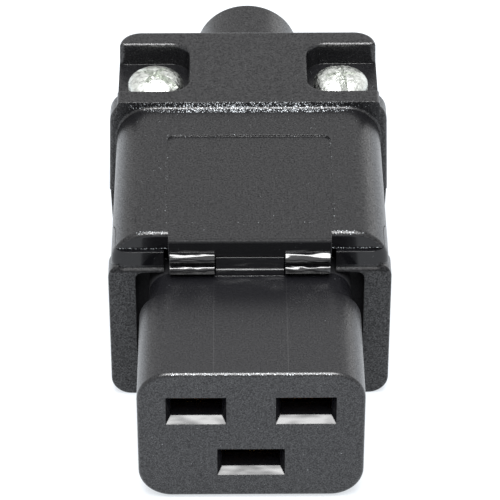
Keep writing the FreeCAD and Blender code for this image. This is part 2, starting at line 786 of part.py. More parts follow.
# ---------------------------------------------------------------- fasteners, clamp and grommet


def housing_screw(side):
    """Long screw that draws the cover on the lower shell."""
    return pan_screw(side * screw_x, screw_y, pocket_z, waist_bottom + SCREW_FROM_BASE,
                     SCREW_RADIUS, SCREW_HEAD_RADIUS, SCREW_HEAD_HEIGHT)


def housing_nut(side):
    """Hexagon nut at the top of its pocket in the lower shell."""
    x = side * screw_x
    top = waist_bottom + NUT_POCKET
    low = top - NUT_HEIGHT
    nut = hexagon(x, screw_y, (low, top), NUT_FLATS)
    return nut.cut(upright(x, screw_y, (low - PAST, top + PAST), SCREW_RADIUS + RUNNING))


def cord_clamp():
    """Bridge over the cord with two gripping ridges and a screw hole at each end."""
    ys = (clamp_y - CLAMP_LENGTH / 2, clamp_y + CLAMP_LENGTH / 2)
    feet = along_y(section(clamp_half, clamp_seat, clamp_seat + CLAMP_THICKNESS, *CLAMP_CORNERS), ys)
    arch = cord_tube(ys, CORD_RADIUS + CLAMP_THICKNESS)
    arch = arch.common(block((-reach, reach), ys, (clamp_seat, reach)))
    bridge = joined([feet, arch]).cut(cord_tube((ys[0] - PAST, ys[1] + PAST), CORD_RADIUS))
    crown = block((-reach, reach), ys, (PARTING_REAR + CORD_RADIUS / 4, reach))
    for y in (clamp_y - CLAMP_LENGTH / 4, clamp_y + CLAMP_LENGTH / 4):
        ring = cord_tube((y - CLAMP_RIDGE_WIDTH / 2, y + CLAMP_RIDGE_WIDTH / 2), CORD_RADIUS + RUNNING)
        ring = ring.cut(cord_tube((y - CLAMP_RIDGE_WIDTH, y + CLAMP_RIDGE_WIDTH), CORD_RADIUS - CLAMP_RIDGE))
        bridge = bridge.fuse(ring.common(crown))
    hole = upright(clamp_screw_x, clamp_y, (clamp_seat - PAST, reach), CLAMP_SCREW_RADIUS + FIT)
    return bridge.removeSplitter().cut(both_sides(hole))


def clamp_screw(side):
    """Self-tapping screw of the cord clamp."""
    return pan_screw(side * clamp_screw_x, clamp_y,
                     clamp_seat + CLAMP_THICKNESS, cavity_floor + CLAMP_FROM_BASE,
                     CLAMP_SCREW_RADIUS, CLAMP_HEAD_RADIUS, CLAMP_HEAD_HEIGHT)


def cord_grommet():
    """Rubber sleeve in the cord outlet, held by a flange inside the rear wall."""
    front = cavity_back - GROMMET_FLANGE
    sleeve = cord_tube((front, overall_length - GROMMET_RECESS), grommet_radius)
    flange = cord_tube((front, cavity_back), nozzle_bore + GROMMET_FLANGE)
    return joined([sleeve, flange]).cut(cord_tube((0, reach), CORD_RADIUS))


# ---------------------------------------------------------------- assembly


def all_pieces():
    """Every piece by its node name, measured from the middle of the mating face."""
    pieces = {
        "lower_shell": lower_shell(),
        "upper_cover": upper_cover(),
        "socket_insert": socket_insert(),
        "cord_clamp": cord_clamp(),
        "cord_grommet": cord_grommet(),
    }
    rows = {
        "line": (live_x, live_z, LIVE_CONTACT_WIDTH, live_deck_end),
        "neutral": (-live_x, live_z, LIVE_CONTACT_WIDTH, live_deck_end),
        "earth": (0, earth_z, EARTH_CONTACT_WIDTH, earth_deck_end),
    }
    for name, (x, z, width, deck_end) in rows.items():
        pieces["contact_" + name] = contact(x, z, width, deck_end)
        pieces["saddle_plate_" + name] = saddle(x, z, width, deck_end)
        pieces["terminal_screw_" + name] = terminal_screw(x, z, deck_end)
    for name, side in (("left", -1), ("right", 1)):
        pieces["housing_screw_" + name] = housing_screw(side)
        pieces["housing_nut_" + name] = housing_nut(side)
        pieces["clamp_screw_" + name] = clamp_screw(side)
    return pieces


os.makedirs("parts", exist_ok=True)
rest_place = at(0, -overall_length / 2, -foot)
for node, shape in all_pieces().items():
    placed = shape.translated(rest_place)
    placed.exportStep("parts/" + node + ".step")
    print(node, len(placed.Solids), round(placed.Volume, 1), placed.isValid())
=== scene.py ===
"""Finishes, fasteners and studio for the rewireable C19 appliance connector.

The construction model gives every moulding, contact and plate at its real size. This script dresses
those pieces, turns detailed screws and nuts in place of the plain ones, and lights the connector on
a pale floor. Sizes are metres, written as millimetres times MM.
"""

import logging
import math
from dataclasses import dataclass
from enum import Enum
from typing import Optional, Sequence, Union

import bmesh
import bpy
from mathutils import Matrix, Vector


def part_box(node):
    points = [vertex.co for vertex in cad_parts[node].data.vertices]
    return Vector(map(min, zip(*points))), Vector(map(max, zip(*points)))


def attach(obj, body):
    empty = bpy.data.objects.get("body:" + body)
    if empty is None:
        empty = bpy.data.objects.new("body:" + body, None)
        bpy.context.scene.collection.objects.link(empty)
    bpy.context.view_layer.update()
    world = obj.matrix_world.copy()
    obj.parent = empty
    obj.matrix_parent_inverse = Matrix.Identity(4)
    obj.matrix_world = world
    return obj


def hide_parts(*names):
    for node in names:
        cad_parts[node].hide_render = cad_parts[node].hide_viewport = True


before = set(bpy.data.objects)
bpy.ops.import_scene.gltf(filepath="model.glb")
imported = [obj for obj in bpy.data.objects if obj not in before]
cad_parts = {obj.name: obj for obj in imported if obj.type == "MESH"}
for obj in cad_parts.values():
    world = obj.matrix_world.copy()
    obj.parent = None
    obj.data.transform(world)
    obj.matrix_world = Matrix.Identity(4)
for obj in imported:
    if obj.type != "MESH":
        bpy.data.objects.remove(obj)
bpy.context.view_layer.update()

MM = 0.001
WHITE = (1.0, 1.0, 1.0, 1.0)
LOG = logging.getLogger("connector")

Value = Union[float, Sequence[float], bpy.types.Node, bpy.types.NodeSocket]
Pair = tuple[float, float]

# Numbers of the Mix node's sockets, because their names repeat.
MIX_FACTOR, MIX_A, MIX_B = 0, 2, 3
MIX_COLOUR_A, MIX_COLOUR_B, MIX_COLOUR_RESULT = 6, 7, 2

# Nearly all values of a noise lie in this span.
NOISE_SPAN = {"From Min": 0.3, "From Max": 0.7}

# How broken up each noise is: sand, soft waves, round dots and streaky dents.
GRAIN_NOISE = {"Detail": 2.0, "Roughness": 0.6}
RIPPLE_NOISE = {"Detail": 1.0, "Roughness": 0.6}
DUST_NOISE = {"Detail": 0.0, "Roughness": 0.6}
MARK_NOISE = {"Detail": 4.0, "Roughness": 0.55}


# ---------------------------------------------------------------- colours and nodes


def linear(colour: str) -> tuple[float, float, float, float]:
    """Turns an sRGB hex colour to linear light.

    Args:
        colour: Six hexadecimal digits after a hash.

    Returns:
        Red, green, blue and an alpha of one.
    """
    parts = [int(colour[i:i + 2], 16) / 255 for i in (1, 3, 5)]
    red, green, blue = (c / 12.92 if c <= 0.04045 else ((c + 0.055) / 1.055) ** 2.4 for c in parts)
    return red, green, blue, 1.0


@dataclass
class Graph:
    """Node tree of one material or world, with a short call to fill it."""

    tree: bpy.types.NodeTree

    def add(self, kind: str, inputs: Optional[dict[Union[str, int], Value]] = None,
            **settings: Union[str, int, bool]) -> bpy.types.Node:
        """Adds a shader node.

        Args:
            kind: Blender's type name of the node, without its ShaderNode.
            inputs: A value, a socket, or a node for its first output, by input name or number.
            settings: Attributes of the node.

        Returns:
            The new node.
        """
        node = self.tree.nodes.new("ShaderNode" + kind)
        for name, value in settings.items():
            setattr(node, name, value)
        for name, value in (inputs or {}).items():
            if isinstance(value, bpy.types.Node):
                value = value.outputs[0]
            if isinstance(value, bpy.types.NodeSocket):
                self.tree.links.new(value, node.inputs[name])
            else:
                node.inputs[name].default_value = value
        return node


def new_material(name: str) -> tuple[bpy.types.Material, Graph]:
    """Makes an empty node material.

    Args:
        name: Name of the finish.

    Returns:
        The material and its graph.
    """
    material = bpy.data.materials.new(name)
    material.use_nodes = True
    material.node_tree.nodes.clear()
    return material, Graph(material.node_tree)


# ---------------------------------------------------------------- finishes


class Touch(Enum):
    """What sets a part of a moulding apart from the rest of its surface."""

    POLISHED = "polished"    # smooth dark wall of a recess
    RIPPLED = "rippled"      # wet-looking skin with sink marks along it
    FUNNEL = "funnel"        # smooth sloping mouth of a pin slot
    PAINTED_GLINTS = "speckled"    # pale specks painted on an edge: painted glints in place of light sparkling on its grain
    WITNESS = "witness"      # thin shiny line where two parts of the tool met
    DULL = "dull"            # depth or edge whose shine is lowered and roughened


# Specular level of the smooth and the dull touches.
GLOSS = {Touch.POLISHED: 0.34, Touch.RIPPLED: 1.0, Touch.FUNNEL: 0.5, Touch.DULL: 0.15}


@dataclass(frozen=True)
class Zone:
    """Box inside which a moulding has a touch of its own, by its span along each axis."""

    touch: Touch
    x: Pair
    y: Pair
    z: Pair
    strength: float = 1.0

    def centre_and_half(self) -> tuple[Vector, Vector]:
        """Middle of the box, and half its size."""
        low, high = (Vector(corner) for corner in zip(self.x, self.y, self.z))
        return (low + high) / 2, (high - low) / 2


@dataclass(frozen=True)
class Surface:
    """The patterns and masks that the channels of one moulded material share."""

    graph: Graph
    in_mm: bpy.types.Node
    grain: bpy.types.Node
    ripple: bpy.types.Node
    masks: dict[Touch, Value]
    smooth: Value

    def blend(self, base: Value, levels: dict[Touch, Value]) -> Value:
        """Goes over to another level inside the zones of each touch.

        Args:
            base: Level outside the zones.
            levels: Level inside the zones, by touch.

        Returns:
            The blended level.
        """
        for touch, level in levels.items():
            base = self.graph.add("Mix", {MIX_FACTOR: self.masks[touch], MIX_A: base, MIX_B: level})
        return base


@dataclass(frozen=True)
class MouldedPlastic:
    """Black plastic from a tool with a matt grain: a glossy skin over sand, so that edges sparkle; in the
    glint zones pale painted glints add to that sparkle.
    """

    name: str
    colour: str
    roughness: float
    grain_mm: float
    grain_depth_mm: float
    roughness_spread: float = 0.05
    shade: Pair = (0.75, 1.3)              # darkest and lightest share of the colour, in the grain
    gloss: float = 0.5
    gloss_spread: float = 0.75             # share by which the grain swings the gloss
    polished_roughness: float = 0.1
    lug_roughness: float = 0.14
    dull_roughness: float = 0.95
    witness_gloss: float = 0.35
    ripple_mm: float = 0.9
    ripple_depth_mm: float = 0.5
    ripple_drawn: tuple[float, float, float] = (0.3, 1.0, 1.0)  # the sink marks run along X
    funnel_ripple: float = 0.06            # share of the ripple's depth that a funnel has
    funnel_wear: Pair = (0.45, 1.15)       # dullest and brightest share of a funnel's gloss
    funnel_wear_end: float = 0.65          # ripple value at which a funnel is brightest
    funnel_lean_mm: float = 0.2            # turns a funnel's shading towards its mouth
    dust_and_glint_mm: float = 0.13                 # size of the dust specks and painted glints, coarser than real specks so that it shows
    # pale colour of the stray dust specks and of the painted glints
    dust_and_glint_colour: str = "#dfe5ea"
    speck_level: float = 0.86              # dust value above which a stray speck shows
    glint_crowding: float = 0.26           # how far a glint zone lowers that value, crowding the specks into painted glints
    speck_contrast: float = 6.0
    edge_mm: float = 0.12                  # radius that softens every edge
    edge_samples: int = 4
    ior: float = 1.5

    def build(self, zones: Sequence[Zone] = ()) -> bpy.types.Material:
        """Makes the material.

        Args:
            zones: Boxes in which the surface has a touch of its own.

        Returns:
            The finished material.
        """
        material, graph = new_material(self.name)
        surface = self._surface(graph, zones)
        shader = graph.add("BsdfPrincipled", {"Base Color": self._colour(surface),
                                              "Roughness": self._roughness(surface),
                                              "Specular IOR Level": self._gloss(surface),
                                              "Normal": self._relief(surface), "IOR": self.ior})
        graph.add("OutputMaterial", {"Surface": shader})
        return material

    def _surface(self, graph: Graph, zones: Sequence[Zone]) -> Surface:
        """Adds the grain, the ripple and the masks of the zones.

        Args:
            graph: Graph of the material.
            zones: Boxes in which the surface has a touch of its own.

        Returns:
            What the channels share.
        """
        place = graph.add("TexCoord").outputs["Object"]
        masks = {touch: self._mask(graph, place, [z for z in zones if z.touch is touch]) for touch in Touch}
        smooth = masks[Touch.POLISHED]
        for touch in (Touch.FUNNEL, Touch.RIPPLED):
            smooth = graph.add("Math", {0: smooth, 1: masks[touch]}, operation="MAXIMUM")
        in_mm = graph.add("Mapping", {"Vector": place, "Scale": (1 / MM,) * 3})
        grain = graph.add("TexNoise", {**GRAIN_NOISE, "Vector": in_mm, "Scale": 1 / self.grain_mm})
        drawn = graph.add("Mapping", {"Vector": in_mm, "Scale": self.ripple_drawn})
        ripple = graph.add("TexNoise", {**RIPPLE_NOISE, "Vector": drawn, "Scale": 1 / self.ripple_mm})
        return Surface(graph, in_mm, grain, ripple, masks, smooth)

    def _mask(self, graph: Graph, place: bpy.types.NodeSocket, zones: Sequence[Zone]) -> Value:
        """Finds the points inside any of some zones.

        Args:
            graph: Graph of the material.
            place: Object coordinates.
            zones: Boxes with the same touch.

        Returns:
            The strength of the zone that a point is in, and zero outside them all.
        """
        mask = 0.0
        for box in zones:
            centre, half = box.centre_and_half()
            moved = graph.add("VectorMath", {0: place, 1: centre}, operation="SUBTRACT")
            reach = graph.add("VectorMath", {0: moved}, operation="ABSOLUTE")
            inside = 1.0
            for axis, limit in zip(graph.add("SeparateXYZ", {0: reach}).outputs, half):
                within = graph.add("Math", {0: axis, 1: limit}, operation="LESS_THAN")
                inside = graph.add("Math", {0: within, 1: inside}, operation="MULTIPLY")
            inside = graph.add("Math", {0: inside, 1: box.strength}, operation="MULTIPLY")
            mask = graph.add("Math", {0: inside, 1: mask}, operation="MAXIMUM")
        return mask

    def _colour(self, surface: Surface) -> bpy.types.NodeSocket:
        """Shades the colour with the grain, adds pale dust specks, and crowds them in the glint zones into
        painted glints that stand in for light sparkling on the grain.

        Args:
            surface: Patterns and masks of the material.

        Returns:
            The base colour.
        """
        graph = surface.graph
        darkest, lightest = self.shade
        shade = graph.add("MapRange", {**NOISE_SPAN, "Value": surface.grain, "To Min": darkest,
                                       "To Max": lightest})
        skin = graph.add("VectorMath", {0: linear(self.colour)[:3], "Scale": shade}, operation="SCALE")
        dust = graph.add("TexNoise", {**DUST_NOISE, "Vector": surface.in_mm, "Scale": 1 / self.dust_and_glint_mm})
        # In the glint zones the specks crowd into painted glints: pale colour in place of highlights.
        crowd = graph.add("Math", {0: surface.masks[Touch.PAINTED_GLINTS], 1: self.glint_crowding},
                          operation="MULTIPLY")
        level = graph.add("Math", {0: self.speck_level, 1: crowd}, operation="SUBTRACT")
        above = graph.add("Math", {0: dust, 1: level}, operation="SUBTRACT")
        specks = graph.add("Math", {0: above, 1: self.speck_contrast}, operation="MULTIPLY", use_clamp=True)
        both = graph.add("Mix", {MIX_FACTOR: specks, MIX_COLOUR_A: skin,
                                 MIX_COLOUR_B: linear(self.dust_and_glint_colour)}, data_type="RGBA")
        return both.outputs[MIX_COLOUR_RESULT]

    def _roughness(self, surface: Surface) -> Value:
        """Varies the roughness with the grain, and sets that of the smooth and the dull zones.

        Args:
            surface: Patterns and masks of the material.

        Returns:
            The roughness.
        """
        graph = surface.graph
        rough = graph.add("MapRange", {**NOISE_SPAN, "Value": surface.grain,
                                       "To Min": self.roughness + self.roughness_spread,
                                       "To Max": self.roughness - self.roughness_spread})
        rough = graph.add("Mix", {MIX_FACTOR: surface.smooth, MIX_A: rough, MIX_B: self.polished_roughness})
        return surface.blend(rough, {Touch.RIPPLED: self.lug_roughness, Touch.DULL: self.dull_roughness})

    def _gloss(self, surface: Surface) -> Value:
        """Varies the specular level with the grain, and sets that of each zone.

        Args:
            surface: Patterns and masks of the material.

        Returns:
            The specular level.
        """
        graph = surface.graph
        gloss = graph.add("MapRange", {**NOISE_SPAN, "Value": surface.grain,
                                       "To Min": self.gloss * (1 - self.gloss_spread),
                                       "To Max": self.gloss * (1 + self.gloss_spread)})
        dullest, brightest = self.funnel_wear
        worn = graph.add("MapRange", {**NOISE_SPAN, "Value": surface.ripple, "From Max": self.funnel_wear_end,
                                      "To Min": dullest, "To Max": brightest})
        funnel = graph.add("Math", {0: worn, 1: GLOSS[Touch.FUNNEL]}, operation="MULTIPLY")
        gloss = surface.blend(gloss, {**GLOSS, Touch.FUNNEL: funnel})
        return graph.add("Math", {0: surface.masks[Touch.WITNESS], 1: self.witness_gloss, 2: gloss},
                         operation="MULTIPLY_ADD")

    def _relief(self, surface: Surface) -> Value:
        """Softens the edges, raises the grain and the ripples, and leans the funnels.

        Args:
            surface: Patterns and masks of the material.

        Returns:
            The shading normal.
        """
        graph, masks = surface.graph, surface.masks
        grained = graph.add("Math", {0: 1.0, 1: surface.smooth}, operation="SUBTRACT")
        slight = graph.add("Math", {0: masks[Touch.FUNNEL], 1: self.funnel_ripple}, operation="MULTIPLY")
        rippled = graph.add("Math", {0: masks[Touch.RIPPLED], 1: slight}, operation="MAXIMUM")
        inward = graph.add("SeparateXYZ", {0: surface.in_mm}).outputs["Y"]
        relief = graph.add("Bevel", {"Radius": self.edge_mm * MM}, samples=self.edge_samples)
        for height, strength, depth_mm in ((surface.grain, grained, self.grain_depth_mm),
                                           (surface.ripple, rippled, self.ripple_depth_mm),
                                           (inward, masks[Touch.FUNNEL], self.funnel_lean_mm)):
            relief = graph.add("Bump", {"Height": height, "Strength": strength, "Normal": relief,
                                        "Distance": depth_mm * MM})
        return relief


@dataclass(frozen=True)
class PlatedMetal:
    """Bright plated or rolled metal: a smooth mirror with faint drawing marks and small dents."""

    name: str
    colour: str
    roughness: float
    mark_mm: float
    mark_depth_mm: float
    roughness_share: Pair = (0.7, 1.4)     # smoothest and roughest share, in the marks
    tint: Pair = (0.68, 1.06)              # darkest and lightest share of the colour
    tint_span: Pair = (0.35, 0.65)         # values of the marks between which the tint changes

    def build(self) -> bpy.types.Material:
        """Makes the material.

        Returns:
            The finished material.
        """
        material, graph = new_material(self.name)
        place = graph.add("TexCoord").outputs["Object"]
        in_mm = graph.add("Mapping", {"Vector": place, "Scale": (1 / MM,) * 3})
        marks = graph.add("TexNoise", {**MARK_NOISE, "Vector": in_mm, "Scale": 1 / self.mark_mm})
        smoothest, roughest = (self.roughness * share for share in self.roughness_share)
        rough = graph.add("MapRange", {**NOISE_SPAN, "Value": marks, "To Min": smoothest,
                                       "To Max": roughest})
        start, end = self.tint_span
        darkest, lightest = self.tint
        tint = graph.add("MapRange", {"Value": marks, "From Min": start, "From Max": end,
                                      "To Min": darkest, "To Max": lightest})
        colour = graph.add("VectorMath", {0: linear(self.colour)[:3], "Scale": tint}, operation="SCALE")
        bump = graph.add("Bump", {"Height": marks, "Strength": 1.0, "Distance": self.mark_depth_mm * MM})
        shader = graph.add("BsdfPrincipled", {"Base Color": colour, "Roughness": rough, "Metallic": 1.0,
                                              "Normal": bump})
        graph.add("OutputMaterial", {"Surface": shader})
        return material


# Filled nylon from a spark-eroded tool: nearly black, with a fine sand that breaks its shine into
# charcoal grey. The sand is drawn at 0.2 mm, because the real one, near 0.05 mm, wouldn't show.
HOUSING_NYLON = MouldedPlastic("grained_black_nylon", "#0d0d0f", roughness=0.3, grain_mm=0.2,
                               grain_depth_mm=0.02)
# Insulating nylon from a finer tool: the same black with a satin face and cleaner edges. Its grain,
# too, is drawn coarser than the real one, so that it shows.
INSERT_NYLON = MouldedPlastic("satin_black_insulator", "#0c0c0f", roughness=0.3, grain_mm=0.17,
                              grain_depth_mm=0.016, gloss=0.62, gloss_spread=0.6)
# Unfilled nylon from a smooth tool: a slightly paler, more even black.
CLAMP_NYLON = MouldedPlastic("satin_clamp_nylon", "#1c1c1d", roughness=0.42, grain_mm=0.3,
                             grain_depth_mm=0.01)
# Moulded rubber: a matt black that takes no highlight.
GROMMET_RUBBER = MouldedPlastic("matt_black_rubber", "#18181a", roughness=0.7, grain_mm=0.35,
                                grain_depth_mm=0.02)
# Bright zinc on tumbled steel: a pale mirror that small dents break into light and dark patches.
ZINC_PLATE = PlatedMetal("bright_zinc_plate", "#e2e5e0", roughness=0.32, mark_mm=0.5,
                         mark_depth_mm=0.13)
# Brass strip as it leaves the rolls: a warm mirror with faint marks.
BRASS_STRIP = PlatedMetal("rolled_brass_strip", "#c9a45a", roughness=0.22, mark_mm=0.6,
                          mark_depth_mm=0.01)


# ---------------------------------------------------------------- dressed construction pieces


class Pole(Enum):
    """Contact of the connector."""

    LINE = "line"
    NEUTRAL = "neutral"
    EARTH = "earth"


def dress(node: str, material: bpy.types.Material) -> None:
    """Gives a construction piece its finish.

    Args:
        node: Name of the piece.
        material: Finish for all its surfaces.
    """
    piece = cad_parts[node]
    piece.data.materials.clear()
    piece.data.materials.append(material)
    LOG.info("dressed %s with %s", node, material.name)


@dataclass
class Housing:
    """The two outer mouldings, with the zones of their finish.

    Depths run back from a moulding's front edge. Heights run up from the foot of the nose, and drops
    run down from the cover's flat top.
    """

    crown: float = 0.87 * MM                 # rise of the rear block over the flat top
    rib_reach: float = 2.4 * MM              # depth of the wall behind the lugs
    skin: float = 0.05 * MM                  # by how much a zone takes in a face
    tongue_edge: float = 0.4 * MM
    lug_sides: Pair = (4.2 * MM, 9.95 * MM)  # inner and outer side of a lug, from the middle
    lug_depth: float = 0.8 * MM
    lug_drop: float = 1.0 * MM
    # depth of the band of painted glints along the seam, and of the dull band on the shell's front edge
    edge_band: float = 0.25 * MM
    lip_depth: float = 1.3 * MM
    lip_drop: float = 0.35 * MM
    lip_strength: float = 0.6
    # rim beside the tongue, where glints are painted
    rim_width: float = 0.5 * MM
    rim_drop: float = 0.3 * MM
    rim_strength: float = 0.8
    step: float = 6.45 * MM                  # place along Y of the step up to the rear block
    step_depth: float = 1.0 * MM
    step_drop: float = 0.15 * MM
    step_cover: float = 0.04 * MM            # takes in the step's own wall
    # half widths and strengths of the bands of painted glints on the step, densest in the middle
    step_bands: tuple[Pair, ...] = ((8.0 * MM, 1.03), (12.0 * MM, 0.85), (15.5 * MM, 0.55))
    panel_half: float = 10.3 * MM
    panel_start: float = 4.6 * MM
    panel_length: float = 18.4 * MM
    panel_line: float = 0.1 * MM             # half the width of the panel's outline
    panel_strength: float = 0.45
    ledge_start: float = 0.3 * MM
    ledge_end: float = 0.4 * MM              # behind the wall of the joint
    ledge_height: float = 19.78 * MM
    crest_heights: Pair = (18.95 * MM, 19.7 * MM)
    crest_strength: float = 0.5
    mouth_half: float = 14.9 * MM
    mouth_start: float = 0.35 * MM
    mouth_end: float = 4.0 * MM              # behind the wall of the joint
    mouth_height: float = 19.0 * MM

    def dress(self) -> None:
        """Grains both halves, polishes the walls of the front joint and paints pale glints on the cover's
        edges.
        """
        dress("upper_cover", HOUSING_NYLON.build(self.cover_zones()))
        dress("lower_shell", HOUSING_NYLON.build(self.shell_zones()))

    def cover_zones(self) -> list[Zone]:
        """Marks the glossy lugs, the notches beside them and the edges of the upper half that get painted
        glints.

        Returns:
            The zones of the cover.
        """
        low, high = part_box("upper_cover")
        seam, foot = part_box("lower_shell")[1].z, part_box("socket_insert")[0].z
        joint_back, lug_back = low.y + self.rib_reach, low.y + self.lug_depth
        top, reach, half = high.z - self.crown, high.x, self.panel_half
        inner, outer = self.lug_sides
        step = (self.step - self.step_depth, self.step + self.step_cover)
        zones = [
            Zone(Touch.POLISHED, (-reach, reach), (lug_back, joint_back), (foot, top - self.tongue_edge)),
            # pale specks painted along the seam: painted glints
            Zone(Touch.PAINTED_GLINTS, (-reach, reach), (joint_back - self.edge_band, joint_back),
                 (seam - self.skin, seam + self.edge_band + self.skin)),
            Zone(Touch.DULL, (-half, half), (lug_back, low.y + self.lip_depth),
                 (top - self.lip_drop, high.z), self.lip_strength)]
        zones += [Zone(Touch.RIPPLED, side, (low.y - self.skin, lug_back), (foot, top - self.lug_drop))
                  for side in ((-outer, -inner), (inner, outer))]
        # painted glints on the rim of the step beside the tongue
        zones += [Zone(Touch.PAINTED_GLINTS, side, (joint_back - self.skin, joint_back + self.rim_width),
                       (top - self.rim_drop, high.z), self.rim_strength)
                  for side in ((-reach, -half), (half, reach))]
        # painted glints on the step up to the rear block, standing in for the overhead light's sparkle
        zones += [Zone(Touch.PAINTED_GLINTS, (-width, width), step, (top - self.step_drop, high.z + self.skin),
                       strength) for width, strength in self.step_bands]
        return zones + self.panel_lines(low.y + self.panel_start, top)

    def panel_lines(self, front: float, top: float) -> list[Zone]:
        """Marks the outline of the recessed panel with painted glints.

        Args:
            front: Front edge of the panel along Y.
            top: Height of the cover's flat top.

        Returns:
            One zone for each side of the panel.
        """
        back = front + self.panel_length
        half, line = self.panel_half, self.panel_line
        height = (top - self.rim_drop, top + self.skin)
        sides = (((-half - line, -half + line), (front, back)), ((half - line, half + line), (front, back)),
                 ((-half, half), (back - line, back + line)), ((-half, half), (front - line, front + line)))
        return [Zone(Touch.PAINTED_GLINTS, x, y, height, self.panel_strength) for x, y in sides]

    def shell_zones(self) -> list[Zone]:
        """Marks the smooth ledge under the cover, and the dull depths round the nose.

        Returns:
            The zones of the lower half.
        """
        low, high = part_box("upper_cover")
        front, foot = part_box("lower_shell")[0].y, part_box("socket_insert")[0].z
        joint_back, reach = low.y + self.rib_reach, high.x
        crest_low, crest_high = self.crest_heights
        return [
            Zone(Touch.POLISHED, (-reach, reach), (front + self.ledge_start, joint_back + self.ledge_end),
                 (foot + self.ledge_height, high.z)),
            Zone(Touch.DULL, (-reach, reach), (front - self.skin, front + self.edge_band),
                 (foot + crest_low, foot + crest_high), self.crest_strength),
            Zone(Touch.DULL, (-self.mouth_half, self.mouth_half),
                 (front + self.mouth_start, joint_back + self.mouth_end),
                 (-self.skin, foot + self.mouth_height))]


@dataclass
class SocketBlock:
    """The insulating block with the pin slots and its brass contacts.

    Depths run back from the mating face, and heights up from the foot of the nose.
    """

    axis_height: float = 9.5 * MM            # height of the nose's axis
    pin_pitch: float = 13.0 * MM
    live_rise: float = 3.9 * MM              # height of the live slots over that axis
    row_drop: float = 8.0 * MM
    slot_half: Pair = (4.2 * MM, 2.15 * MM)  # half the width and half the height of a funnel
    funnel: float = 1.15 * MM
    face_gap: float = 0.02 * MM              # keeps a zone off the mating face itself
    joint: Pair = (18.6 * MM, 21.0 * MM)     # depths of the wall between the lugs
    joint_height: float = 19.05 * MM
    bridge_half: float = 4.2 * MM
    bridge_back: float = 19.1 * MM
    bridge_heights: Pair = (19.3 * MM, 21.4 * MM)
    bridge_strength: float = 0.4
    shoulder_half: float = 14.9 * MM
    shoulder_depths: Pair = (19.3 * MM, 23.0 * MM)
    shoulder_heights: Pair = (-0.05 * MM, 19.0 * MM)
    shoulder_strength: float = 0.7
    witness: float = 4.4 * MM                # from the middle to a tool mark on the nose's top
    witness_half: float = 0.06 * MM
    witness_start: float = 0.5 * MM
    witness_height: float = 18.5 * MM
    edge_half: float = 9.4 * MM
    edge_rise: float = 9.3 * MM              # height over the axis of the painted glints that brighten the front edge
    edge_depth: float = 0.35 * MM
    edge_strength: float = 0.85

    def dress(self) -> None:
        """Gives the block a satin face with polished slot funnels, and the contacts bare brass."""
        dress("socket_insert", INSERT_NYLON.build(self.zones()))
        brass = BRASS_STRIP.build()
        for pole in Pole:
            dress("contact_" + pole.value, brass)

    def zones(self) -> list[Zone]:
        """Marks the funnels, the painted glints on the front edge, the tool marks and the darker parts behind
        the collar.

        Returns:
            The zones of the block.
        """
        low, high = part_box("socket_insert")
        front, foot = low.y, low.z
        joint_front, joint_back = (front + depth for depth in self.joint)
        axis = foot + self.axis_height
        live = axis + self.live_rise
        half_x, half_z = self.slot_half
        slots = ((-self.pin_pitch / 2, live), (self.pin_pitch / 2, live), (0.0, live - self.row_drop))
        zones = [Zone(Touch.FUNNEL, (x - half_x, x + half_x), (front + self.face_gap, front + self.funnel),
                      (z - half_z, z + half_z)) for x, z in slots]
        zones += [
            Zone(Touch.POLISHED, (low.x, high.x), (joint_front, joint_back),
                 (foot + self.joint_height, high.z)),
            Zone(Touch.RIPPLED, (-self.bridge_half, self.bridge_half),
                 (joint_front, front + self.bridge_back),
                 tuple(foot + height for height in self.bridge_heights), self.bridge_strength),
            Zone(Touch.DULL, (-self.shoulder_half, self.shoulder_half),
                 tuple(front + depth for depth in self.shoulder_depths),
                 tuple(foot + height for height in self.shoulder_heights), self.shoulder_strength),
            # pale specks painted along the nose's top front edge: a painted highlight
            Zone(Touch.PAINTED_GLINTS, (-self.edge_half, self.edge_half),
                 (front + self.face_gap, front + self.edge_depth), (axis + self.edge_rise, high.z),
                 self.edge_strength)]
        zones += [Zone(Touch.WITNESS, (x - self.witness_half, x + self.witness_half),
                       (front + self.witness_start, joint_front), (foot + self.witness_height, high.z))
                  for x in (-self.witness, self.witness)]
        return zones


# ---------------------------------------------------------------- turned fasteners


WELD = 1e-7                       # points nearer than this are one
BROKEN_ABOVE = math.radians(38)   # edges that turn more than this are broken
SHARP_ABOVE = math.radians(42)    # edges that turn more than this stay sharp in the shading


class Side(Enum):
    """Side of the connector, seen from its mating face."""

    LEFT = "left"
    RIGHT = "right"


class Cut(Enum):
    """Part of a piece that is kept when a shape carves it, by the modifier's name for it."""

    OUTSIDE = "DIFFERENCE"
    INSIDE = "INTERSECT"


def turned(outline: Sequence[Pair], steps: int) -> bmesh.types.BMesh:
    """Spins an outline about the Z axis.

    Args:
        outline: Radius and height of each corner, from the axis at the foot to the axis at the top.
        steps: Faces round the axis.

    Returns:
        A closed mesh with its faces outwards.
    """
    shape = bmesh.new()
    points = [shape.verts.new((radius, 0, height)) for radius, height in outline]
    edges = [shape.edges.new(pair) for pair in zip(points, points[1:])]
    bmesh.ops.spin(shape, geom=points + edges, cent=(0, 0, 0), axis=(0, 0, 1), angle=2 * math.pi,
                   steps=steps, use_merge=True)
    bmesh.ops.remove_doubles(shape, verts=shape.verts[:], dist=WELD)
    bmesh.ops.recalc_face_normals(shape, faces=shape.faces[:])
    return shape


def prism(sides: int, radius: float, low: float, high: float) -> bmesh.types.BMesh:
    """Makes an upright prism with a regular outline.

    Args:
        sides: Number of its sides.
        radius: Distance of its corners from the axis.
        low: Height of the lower end.
        high: Height of the upper end.

    Returns:
        A closed mesh.
    """
    shape = bmesh.new()
    bmesh.ops.create_cone(shape, cap_ends=True, segments=sides, radius1=radius, radius2=radius,
                          depth=high - low)
    bmesh.ops.translate(shape, vec=(0, 0, (low + high) / 2), verts=shape.verts[:])
    return shape


